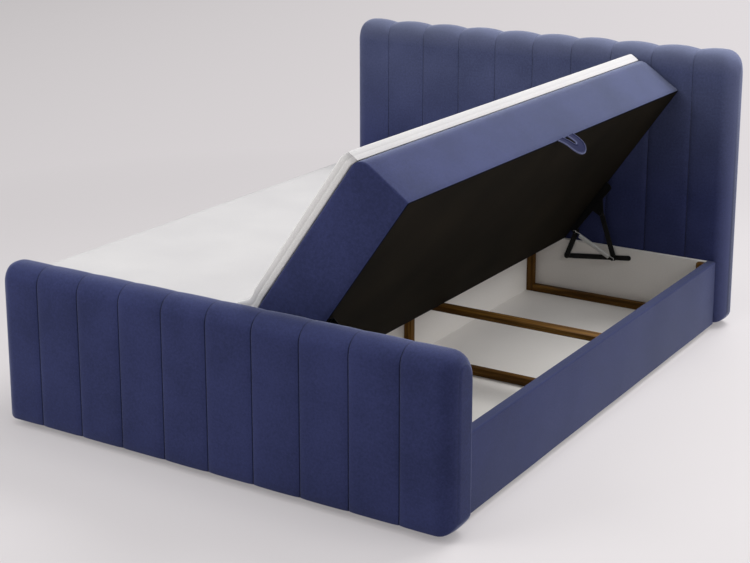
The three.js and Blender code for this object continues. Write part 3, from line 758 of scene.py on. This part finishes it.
def lid_shape():
    """Outlines from the underside up: a rolled lower edge, the sides, and the soft upper edge."""
    rings = [lid_outline(inset, z) for inset, z in lid_lower_edge]
    rings += [lid_outline(0, z) for z in np.linspace(lid_side_start, lid_top - lid_top_round, 8)]
    for angle in np.radians((10, 20, 30, 39, 47, 53, 59, 65, 71, 77, 84, 90)):
        drop = lid_top_round * (1 - math.sin(angle))
        end_inset = corner_drop(lid_end_round, lid_end_round - drop)
        rings.append(lid_outline(lid_top_round * (1 - math.cos(angle)), lid_top - drop, end_inset))
    return lofted(rings)


def lid_paint(place):
    """Painted light: the velvet is painted a little lighter and more grey towards the head end."""
    shades = velvet_shades(place, (38, 44, 80), (52, 58, 100))
    greyer = velvet_shades(place, (46, 52, 77), (60, 66, 99))["Base Color"]
    shades["Base Color"] = place.part(1).ramp(-1.0, 1.0).mixed(shades["Base Color"], greyer)
    return shades


def lip_paint(place):
    """The border turned in under the lid, painted nearly black as painted shade."""
    return velvet_shades(place, (7, 8, 18), (12, 14, 28))


lid_velvet = finish("lid_velvet", lid_paint, velvet_sockets)
lid_lip = finish("lid_lip", lip_paint, {"Specular IOR Level": 0.05})
lid_points, lid_faces = lid_shape()
lip_faces = np.array([lid_points[face, 2].max() < lid_lip_top for face in lid_faces], np.int32)
for side in sides:
    lid = piece(f"{side}_lid_cover", on_lid(lid_points, side), lid_faces, lid_velvet, 50)
    lid.data.materials.append(lid_lip)
    lid.data.polygons.foreach_set("material_index", lip_faces)
    fitted(lid, f"{side}_lid", "velvet", f"{side}_mattress_box")
    refinish(f"{side}_lid_frame", pine_along)

# The dust covers: black non-woven cloth stretched under each lid and stapled at its border.
dust_x = (14.3, 793.7)
dust_half_length = 988.7
dust_z = (270.3, 271.8)


def dust_paint(place):
    web = place.noise(300, 4, 0.7)
    cloud = place.noise(3, 2)
    return {
        "Base Color": (web * 0.4 + cloud * 0.6).colour((0.35, srgb(17, 14, 8)), (0.65, srgb(31, 26, 18))),
        "Roughness": web * 0.1 + 0.85,
        "Normal": web.bump(0.0003, 0.5),
    }


dust_cloth = finish("dust_cloth", dust_paint, {"Specular IOR Level": 0.06})


def slab(xs, ys, low, high, free=(True, True, True, True), profile=((0, 0), (0, 1))):
    """A flat slab over a grid. Its free edges (x start, x end, y start, y end) stand out from the
    grid by a profile of pairs: how far out, and the share of the height. Gives points and faces,
    and how far each point is into the border, from 0 on the grid to 1."""
    nx, ny = len(xs), len(ys)
    grid = np.stack(np.meshgrid(xs, ys, indexing="ij"), -1).reshape(-1, 2)
    index = np.arange(nx * ny).reshape(nx, ny)
    loop = np.concatenate([index[:-1, 0], index[-1, :-1], index[:0:-1, -1], index[0, :0:-1]])
    out = np.zeros((nx * ny, 2))
    out[index[0, :], 0] = -1.0 * free[0]
    out[index[-1, :], 0] = 1.0 * free[1]
    out[index[:, 0], 1] = -1.0 * free[2]
    out[index[:, -1], 1] = 1.0 * free[3]
    out /= np.maximum(1, np.linalg.norm(out, axis=1) ** 0.5)[:, None]
    lower = np.column_stack([grid, np.full(len(grid), low)])
    upper = np.column_stack([grid, np.full(len(grid), high)])
    points, faces, border = [lower, upper], [], [np.zeros(len(grid))] * 2
    quads = np.stack([index[:-1, :-1], index[1:, :-1], index[1:, 1:], index[:-1, 1:]], -1).reshape(-1, 4)
    faces += quads[:, ::-1].tolist() + (quads + nx * ny).tolist()
    rings = [loop]
    count = 2 * nx * ny
    for far, share in profile[1:-1]:
        height = np.full(len(loop), low + (high - low) * share)
        ring = np.column_stack([grid[loop] + out[loop] * far, height])
        points.append(ring)
        border.append(np.ones(len(loop)))
        rings.append(count + np.arange(len(loop)))
        count += len(loop)
    rings.append(loop + nx * ny)
    for one, other in zip(rings, rings[1:]):
        faces += np.stack([one, np.roll(one, -1), np.roll(other, -1), other], 1).tolist()
    return np.concatenate(points), faces, np.concatenate(border)


dust_ys = np.linspace(-dust_half_length, dust_half_length, 60)
dust_points, dust_faces, _ = slab(np.linspace(*dust_x, 24), dust_ys, *dust_z)
for side in sides:
    cloth = piece(f"{side}_dust_cloth", on_lid(dust_points, side), dust_faces, dust_cloth)
    fitted(cloth, f"{side}_lid", "dust_cover", f"{side}_dust_cover")

# The pull loops: a strap of the same velvet with turned edges, bent to a U and sewn by its ends
# to the middle of the lid's free side, just above the lower edge.
strap_width, strap_gap = 42, 0.3
turned_edge_start, turned_edge_width = 18, 2
base_spread, tip_spread = 76, 62
leg_length, loop_rise, loop_bow = 33, 3, 7
strap_section = rounded((
    (-21, 0, 1.4), (21, 0, 1.4), (21, 4.8, 2), (15, 4.4, 1.5),
    (12, 2.2, 3), (-12, 2.2, 3), (-15, 4.4, 1.5), (-21, 4.8, 2)), 4)


def loop_shape():
    """The strap's section, carried along one leg, round the tip and back along the other leg."""
    half = tip_spread / 2
    leg = [(base_spread / 2 * (1 - s) + half * s, leg_length * s) for s in np.linspace(0, 1, 12)[:-1]]
    turns = np.radians(np.linspace(0, 180, 31))
    tip = [(half * math.cos(turn), leg_length + half * math.sin(turn)) for turn in turns]
    path = np.array(leg + tip + [(-y, down) for y, down in leg[::-1]])
    length = leg_length + half + strap_width / 2
    rings = []
    for i, (y, down) in enumerate(path):
        run = path[min(i + 1, len(path) - 1)] - path[max(i - 1, 0)]
        run = run / np.linalg.norm(run)
        if i in (0, len(path) - 1):
            run = np.array((0, math.copysign(1, run[1])))
        ring = []
        for across_way, proud in strap_section:
            below = down + run[0] * across_way
            bow = loop_bow * math.sin(math.pi * min(max(below / length, 0), 1))
            ring.append((lid_x[1] + strap_gap + bow + proud, y - run[1] * across_way,
                         lid_bottom + loop_rise - below))
        rings.append(ring)
    return lofted(rings)


def strap_paint(place):
    """The strap, of the same velvet, is painted darker as painted shade, and its turned edges are painted
    lighter as painted highlights.
    """
    turned = place.node("ShaderNodeAttribute", {}, output=2, attribute_name="painted_edge_highlight")
    shades = velvet_shades(place, (13, 17, 49), (19, 24, 62))
    shades["Base Color"] = turned.mixed(shades["Base Color"], srgb(92, 96, 126))
    return shades


strap_velvet = finish("strap_velvet", strap_paint, {**velvet_sockets, "Sheen Weight": 0.1})
loop_points, loop_faces = loop_shape()
for side in sides:
    strap = piece(f"{side}_pull_strap", on_lid(loop_points, side), loop_faces, strap_velvet, 60)
    # The mask of the painted highlight on the strap's turned edges.
    turned = strap.data.attributes.new("painted_edge_highlight", "FLOAT", "POINT")
    edge_highlight_share = np.clip((np.abs(strap_section[:, 0]) - turned_edge_start) / turned_edge_width, 0, 1)
    turned.data.foreach_set("value", np.resize(edge_highlight_share, len(loop_points)).astype(np.float32))
    fitted(strap, f"{side}_lid", "velvet", f"{side}_pull_loop")

# The topper: a foam core in a white knitted cover. Its border has one fine seam round its middle, and at the
# two ends the border is painted lighter than the top, as painted light. It lies flat on the closed lid and
# bends up on to the open one.
topper_z = (473.3, 513.3)
topper_half_length = 995
topper_outer_x = 788
topper_split = -50
topper_bend_x = 88
topper_round = 6
half_angle = math.radians(27.5)
joint_one = np.array((19, 406.795))
joint_two = np.array((141.408, 470.516))
topper_droop, topper_droop_end = 0.8, 8
topper_bend_end = 244
topper_profile = [(0, 0), (3.4, 0.01), (5.2, 0.04), (6, 0.1), (6.2, 0.3), (6.2, 0.47), (5.9, 0.49),
                  (6.2, 0.51), (6.2, 0.7), (6, 0.84), (5.3, 0.92), (3.8, 0.97), (2, 0.993), (0, 1)]


def topper_paint(place):
    flat_place = place.node("ShaderNodeAttribute", {}, output=1, attribute_name="flat_place")
    border = place.node("ShaderNodeAttribute", {}, output=2, attribute_name="border")
    knit = flat_place.node("ShaderNodeTexVoronoi", {"Vector": flat_place, "Scale": 260})
    heather = flat_place.noise(420, 3, 0.7)
    soft = flat_place.noise(4, 2)
    top = (knit * 0.3 + soft * 0.7).colour((0.3, srgb(182, 180, 181)), (0.7, srgb(191, 189, 189)))
    # Painted light: the border at the two ends is lighter than the top.
    edge = (heather * 0.8 + knit * 0.2).colour((0.35, srgb(208, 206, 205)), (0.65, srgb(229, 227, 225)))
    return {
        "Base Color": border.mixed(top, edge),
        "Roughness": heather * 0.1 + 0.82,
        "Normal": (knit * 0.5 + heather * 0.5 * border).bump(0.0006, 0.4),
    }


topper_knit = finish("topper_knit", topper_paint, {
    "Sheen Weight": 0.15, "Sheen Roughness": 0.5, "Specular IOR Level": 0.2})
fold_start = np.array((topper_split, topper_z[1]))
fold_end = swung([(topper_bend_x, 0, topper_z[1])], half_angle, joint_one)[0][[0, 2]]
bend_run = np.linalg.norm(fold_end - fold_start)


def smooth_step(t):
    t = np.clip(t, 0, 1)
    return t * t * (3 - 2 * t)


def bent_back(points, pivot, start, direction):
    """Where points lie at rest that the joint's bend would lay flat. A point takes a share of the
    bend that depends on where it ends up, so its share is found by halving."""
    along_way = np.array((math.cos(direction), math.sin(direction)))
    low, high = np.zeros(len(points)), np.ones(len(points))
    x, z = points[:, 0] - pivot[0], points[:, 2] - pivot[1]

    def placed(share):
        c, s = np.cos(share * half_angle), np.sin(share * half_angle)
        return pivot[0] + x * c - z * s, pivot[1] + x * s + z * c

    for _ in range(40):
        share = (low + high) / 2
        px, pz = placed(share)
        far = (px - start[0]) * along_way[0] + (pz - start[1]) * along_way[1]
        wanted = smooth_step(far / bend_run)
        more = wanted > share
        low, high = np.where(more, share, low), np.where(more, high, share)
    px, pz = placed((low + high) / 2)
    return np.column_stack([px, points[:, 1], pz])


def topper_piece(name, xs, free, place):
    """A stretch of the topper, drooping a little over the lid's soft edge, and put in its place."""
    ys = np.linspace(-topper_half_length + topper_round, topper_half_length - topper_round, 64)
    points, faces, border = slab(xs, ys, *topper_z, free, topper_profile)
    over = np.clip(np.abs(points[:, 0]) - lid_x[1] + lid_top_round, 0, lid_top_round - topper_droop_end)
    droop = topper_droop * (lid_top_round - np.sqrt(lid_top_round ** 2 - over ** 2))
    made = piece(name, place(points - np.outer(droop, (0, 0, 1))), faces, topper_knit, 60)
    flat = made.data.attributes.new("flat_place", "FLOAT_VECTOR", "POINT")
    flat.data.foreach_set("vector", (points * MM).astype(np.float32).ravel())
    edge = made.data.attributes.new("border", "FLOAT", "POINT")
    # Only the border at the two ends carries the painted light; the long sides keep the top's colour.
    on_long_side = np.abs(points[:, 0]) > topper_outer_x - topper_round + 0.1
    edge.data.foreach_set("value", np.where(on_long_side, 0, border).astype(np.float32))
    return made


def in_metres(place):
    return place[0] * MM, 0, place[1] * MM


one_way = np.array((math.cos(half_angle / 2), math.sin(half_angle / 2)))
two_way = np.array((math.cos(1.5 * half_angle), math.sin(1.5 * half_angle)))
y_free = (True, True)
fold_xs = np.linspace(topper_split, topper_bend_x, 19)
outer_xs = np.concatenate([np.linspace(topper_bend_x, topper_bend_end, 27),
                           np.linspace(topper_bend_end, topper_outer_x - topper_round, 24)[1:]])
left_fold_end = np.array((-topper_bend_x, topper_z[1]))
left_bend_run = np.array((topper_split + topper_bend_x, 0))

right_fold = topper_piece("right_topper_bend", fold_xs, (False, False, *y_free),
                          lambda p: bent_back(p, joint_one, fold_start, half_angle / 2))
fitted(right_fold, None, "topper", "right_topper_fold")
in_metres(fold_start)
in_metres(fold_start + one_way * bend_run)
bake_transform(right_fold)
right_outer = topper_piece(
    "right_topper_cover", outer_xs, (False, True, *y_free),
    lambda p: bent_back(swung(p, half_angle, joint_one), joint_two, fold_end, 1.5 * half_angle))
fitted(right_outer, None, "topper", "right_topper")
in_metres(fold_end)
in_metres(fold_end + two_way * bend_run)
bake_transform(right_outer)

left_fold = topper_piece("left_topper_bend", np.linspace(-topper_bend_x, topper_split, 13),
                         (False, False, *y_free), lambda p: p)
fitted(left_fold, None, "topper", "left_topper_fold")
in_metres(fold_start)
in_metres(left_fold_end)
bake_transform(left_fold)
left_outer = topper_piece("left_topper_cover", -outer_xs[::-1], (True, False, *y_free), lambda p: p)
fitted(left_outer, None, "topper", "left_topper")
in_metres(left_fold_end)
in_metres(left_fold_end - left_bend_run)
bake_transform(left_outer)

# The floor and the light: a pale studio floor, which glows for the camera far from the bed, with painted
# light that grows lighter towards the right, and keeps its shadow near it; lamps above, off the front's left,
# off the right side and behind the head end; and a weak white all round.
floor_reach = 30
floor_mesh = bpy.data.meshes.new("floor")
floor_mesh.from_pydata([(-floor_reach, -floor_reach, 0), (floor_reach, -floor_reach, 0),
                        (floor_reach, floor_reach, 0), (-floor_reach, floor_reach, 0)], [], [(0, 1, 2, 3)])
floor = bpy.data.objects.new("floor", floor_mesh)
bpy.context.scene.collection.objects.link(floor)
floor_paint = bpy.data.materials.new("studio_floor")
floor_paint.use_nodes = True
floor_tree = floor_paint.node_tree
floor_shader = floor_tree.nodes["Principled BSDF"]
floor_shader.inputs["Base Color"].default_value = srgb(208, 204, 205)
floor_shader.inputs["Roughness"].default_value = 0.9
floor_shader.inputs["Specular IOR Level"].default_value = 0.1
glow = floor_tree.nodes.new("ShaderNodeEmission")
floor_place = Link(floor_tree.nodes.new("ShaderNodeTexCoord").outputs["Object"])
# Painted light: the glow the camera sees is lighter towards the right.
to_right = floor_place.part(0) * 0.1 + floor_place.part(1) * 0.033 + 0.652
pale = to_right.colour((0.0, srgb(196, 192, 193)), (0.777, srgb(225, 220, 222)))
floor_tree.links.new(pale.socket, glow.inputs["Color"])
seen = Link(floor_tree.nodes.new("ShaderNodeLightPath").outputs["Is Camera Ray"])
reach = floor_place.node("ShaderNodeVectorMath", {0: floor_place}, output=1, operation="LENGTH")
far_share = reach * 0.3 - 0.1
far_share = far_share.node("ShaderNodeClamp", {"Value": far_share, "Min": 0.35, "Max": 1.0}) * seen
floor_mix = floor_tree.nodes.new("ShaderNodeMixShader")
floor_tree.links.new(far_share.socket, floor_mix.inputs[0])
floor_tree.links.new(floor_shader.outputs[0], floor_mix.inputs[1])
floor_tree.links.new(glow.outputs[0], floor_mix.inputs[2])
floor_tree.links.new(floor_mix.outputs[0], floor_tree.nodes["Material Output"].inputs["Surface"])
floor_mesh.materials.append(floor_paint)

world = bpy.data.worlds.new("studio")
bpy.context.scene.world = world
world.use_nodes = True
world.node_tree.nodes["Background"].inputs["Color"].default_value = (1, 1, 1, 1)
world.node_tree.nodes["Background"].inputs["Strength"].default_value = 0.25


def lamp(name, place, aim, size, power):
    light = bpy.data.lights.new(name, "AREA")
    light.shape = "RECTANGLE"
    light.size, light.size_y = size
    light.energy = power
    made = bpy.data.objects.new(name, light)
    made.location = place
    made.rotation_euler = (Vector(aim) - Vector(place)).to_track_quat("-Z", "Y").to_euler()
    bpy.context.scene.collection.objects.link(made)


lamp("top_light", (-0.3, -1.0, 3.7), (-0.3, 0, 0.4), (3.4, 2.6), 52)
lamp("front_light", (-2.3, -3.9, 2.9), (0, 0, 0.5), (3, 2.4), 110)
lamp("right_light", (4.0, 0.4, 3.1), (0.5, 0.2, 0.3), (3, 2.4), 72)
lamp("back_light", (1.5, 2.7, 4.3), (0.4, 0.4, 0.7), (3, 2), 215)

bpy.context.scene.view_settings.view_transform = "Standard"
